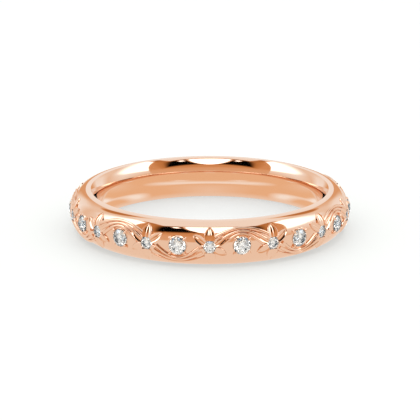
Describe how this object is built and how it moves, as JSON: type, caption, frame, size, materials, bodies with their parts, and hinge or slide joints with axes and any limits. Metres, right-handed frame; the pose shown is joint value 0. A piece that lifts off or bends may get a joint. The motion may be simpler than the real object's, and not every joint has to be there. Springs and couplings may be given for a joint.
{
  "type": "wedding band",
  "caption": "Comfort-fit wedding band with flowers and a winding vine of raised metal all the way round, and a round stone in each flower and between flowers.",
  "frame": {"origin": "centre of the finger hole, at half the band's width", "axes": "+Z along the finger hole, so the band lies flat on the side that faces -Z; the first flower faces -Y; stones are numbered from it towards +X"},
  "size_m": [0.0218, 0.0218, 0.0032],
  "materials": {
    "rose_gold": "high polish",
    "diamond": "faceted and polished"
  },
  "bodies": {
    "root": {"band": "rose_gold", "flower_diamond_01": "diamond", "large_diamond_01": "diamond", "flower_diamond_02": "diamond", "large_diamond_02": "diamond", "flower_diamond_03": "diamond", "large_diamond_03": "diamond", "flower_diamond_04": "diamond", "large_diamond_04": "diamond", "flower_diamond_05": "diamond", "large_diamond_05": "diamond", "flower_diamond_06": "diamond", "large_diamond_06": "diamond", "flower_diamond_07": "diamond", "large_diamond_07": "diamond", "flower_diamond_08": "diamond", "large_diamond_08": "diamond", "flower_diamond_09": "diamond", "large_diamond_09": "diamond", "flower_diamond_10": "diamond", "large_diamond_10": "diamond", "flower_diamond_11": "diamond", "large_diamond_11": "diamond", "flower_diamond_12": "diamond", "large_diamond_12": "diamond", "flower_diamond_13": "diamond", "large_diamond_13": "diamond", "flower_diamond_14": "diamond", "large_diamond_14": "diamond"}
  },
  "joints": []
}
